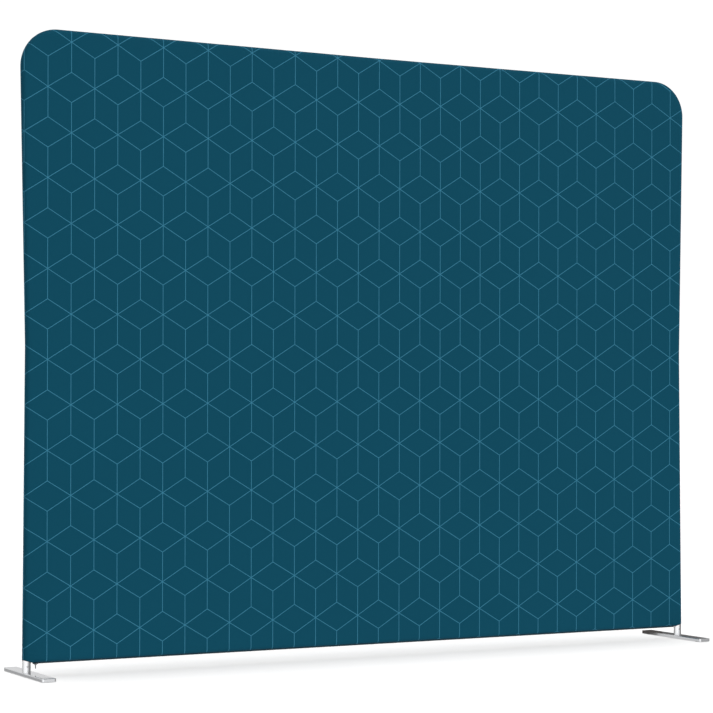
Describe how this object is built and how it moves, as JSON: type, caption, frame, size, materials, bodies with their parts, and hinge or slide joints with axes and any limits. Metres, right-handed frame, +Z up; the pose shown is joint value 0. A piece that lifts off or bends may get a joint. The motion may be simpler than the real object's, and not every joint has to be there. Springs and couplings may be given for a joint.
{
  "type": "fabric room divider",
  "caption": "Free-standing fabric room divider: printed stretch sleeve zipped over a tube frame with rounded top corners, on two flat bar feet.",
  "frame": {"origin": "On the floor, midway between the two feet and in the middle of the wall's thickness.", "axes": "+X runs along the wall to the right, -Y faces the viewer, +Z is up."},
  "size_m": [2.5102, 0.35, 2.0001],
  "materials": {
    "tube": "satin",
    "foot": "polished",
    "stub": "turned",
    "joiner": "moulded",
    "steel": "zinc plated",
    "button": "nickel plated",
    "rubber": "matt",
    "fabric": "printed stretch knit",
    "tape": "woven tape",
    "coil": "moulded coil",
    "slider": "dark enamel"
  },
  "bodies": {
    "wall": {"side_tube_lower_left": "tube", "side_tube_lower_right": "tube", "side_tube_upper_left": "tube", "side_tube_upper_right": "tube", "corner_bend_left": "tube", "corner_bend_right": "tube", "top_tube_left": "tube", "top_tube_right": "tube", "bottom_tube_left": "tube", "bottom_tube_right": "tube", "centre_pole_lower": "tube", "centre_pole_upper": "tube", "side_joiner_left": "joiner", "side_joiner_right": "joiner", "bend_side_joiner_left": "joiner", "bend_side_joiner_right": "joiner", "bend_top_joiner_left": "joiner", "bend_top_joiner_right": "joiner", "top_tee": "joiner", "bottom_tee": "joiner", "pole_joiner": "joiner", "rail_stub_left": "joiner", "rail_stub_right": "joiner", "clip_springs": "steel", "tube_rivets": "steel", "rail_screws": "steel", "foot_plate_left": "foot", "foot_plate_right": "foot", "foot_stub_left": "stub", "foot_stub_right": "stub", "foot_screws": "steel", "foot_pads": "rubber", "sleeve_front": "fabric", "sleeve_back": "fabric", "zip_tape_front": "tape", "zip_tape_back": "tape", "zip_coil_front": "coil", "zip_coil_back": "coil", "zip_stops": "slider"},
    "foot_button_left": {"foot_button_left": "button"},
    "foot_button_right": {"foot_button_right": "button"},
    "rail_button_left": {"rail_button_left": "button"},
    "rail_button_right": {"rail_button_right": "button"},
    "side_button_left": {"side_button_left": "button"},
    "side_button_right": {"side_button_right": "button"},
    "bend_side_button_left": {"bend_side_button_left": "button"},
    "bend_side_button_right": {"bend_side_button_right": "button"},
    "bend_top_button_left": {"bend_top_button_left": "button"},
    "bend_top_button_right": {"bend_top_button_right": "button"},
    "top_tee_button": {"top_tee_button": "button"},
    "bottom_tee_button": {"bottom_tee_button": "button"},
    "pole_button": {"pole_button": "button"},
    "zip_slider": {"zip_slider": "slider"},
    "zip_pull": {"zip_pull": "slider"}
  },
  "joints": [
    {"name": "foot_button_left_press", "type": "slide", "parent": "wall", "child": "foot_button_left", "axis": [0, 1, 0], "range_m": [0, 0.0032], "stiffness_N_per_m": 1500, "springref_m": -0.002},
    {"name": "foot_button_right_press", "type": "slide", "parent": "wall", "child": "foot_button_right", "axis": [0, 1, 0], "range_m": [0, 0.0032], "stiffness_N_per_m": 1500, "springref_m": -0.002},
    {"name": "rail_button_left_press", "type": "slide", "parent": "wall", "child": "rail_button_left", "axis": [0, 0, -1], "range_m": [0, 0.0032], "stiffness_N_per_m": 1500, "springref_m": -0.002},
    {"name": "rail_button_right_press", "type": "slide", "parent": "wall", "child": "rail_button_right", "axis": [0, 0, -1], "range_m": [0, 0.0032], "stiffness_N_per_m": 1500, "springref_m": -0.002},
    {"name": "side_button_left_press", "type": "slide", "parent": "wall", "child": "side_button_left", "axis": [-0.9998, 0, -0.0175], "range_m": [0, 0.0032], "stiffness_N_per_m": 1500, "springref_m": -0.002},
    {"name": "side_button_right_press", "type": "slide", "parent": "wall", "child": "side_button_right", "axis": [0.9998, 0, -0.0175], "range_m": [0, 0.0032], "stiffness_N_per_m": 1500, "springref_m": -0.002},
    {"name": "bend_side_button_left_press", "type": "slide", "parent": "wall", "child": "bend_side_button_left", "axis": [-0.9998, 0, -0.0175], "range_m": [0, 0.0032], "stiffness_N_per_m": 1500, "springref_m": -0.002},
    {"name": "bend_side_button_right_press", "type": "slide", "parent": "wall", "child": "bend_side_button_right", "axis": [0.9998, 0, -0.0175], "range_m": [0, 0.0032], "stiffness_N_per_m": 1500, "springref_m": -0.002},
    {"name": "bend_top_button_left_press", "type": "slide", "parent": "wall", "child": "bend_top_button_left", "axis": [0.0026, 0, 1], "range_m": [0, 0.0032], "stiffness_N_per_m": 1500, "springref_m": -0.002},
    {"name": "bend_top_button_right_press", "type": "slide", "parent": "wall", "child": "bend_top_button_right", "axis": [-0.0026, 0, 1], "range_m": [0, 0.0032], "stiffness_N_per_m": 1500, "springref_m": -0.002},
    {"name": "top_tee_button_press", "type": "slide", "parent": "wall", "child": "top_tee_button", "axis": [-0.0026, 0, 1], "range_m": [0, 0.0032], "stiffness_N_per_m": 1500, "springref_m": -0.002},
    {"name": "bottom_tee_button_press", "type": "slide", "parent": "wall", "child": "bottom_tee_button", "axis": [0, 0, -1], "range_m": [0, 0.0032], "stiffness_N_per_m": 1500, "springref_m": -0.002},
    {"name": "pole_button_press", "type": "slide", "parent": "wall", "child": "pole_button", "axis": [-1, 0, 0], "range_m": [0, 0.0032], "stiffness_N_per_m": 1500, "springref_m": -0.002},
    {"name": "zip_run", "type": "slide", "parent": "wall", "child": "zip_slider", "axis": [1, 0, 0], "range_m": [0, 2.413]},
    {"name": "zip_pull_swing", "type": "hinge", "parent": "zip_slider", "child": "zip_pull", "pos_m": [-1.2065, 0, 0.03655], "axis": [0, 1, 0], "range_deg": [-90, 90]}
  ]
}
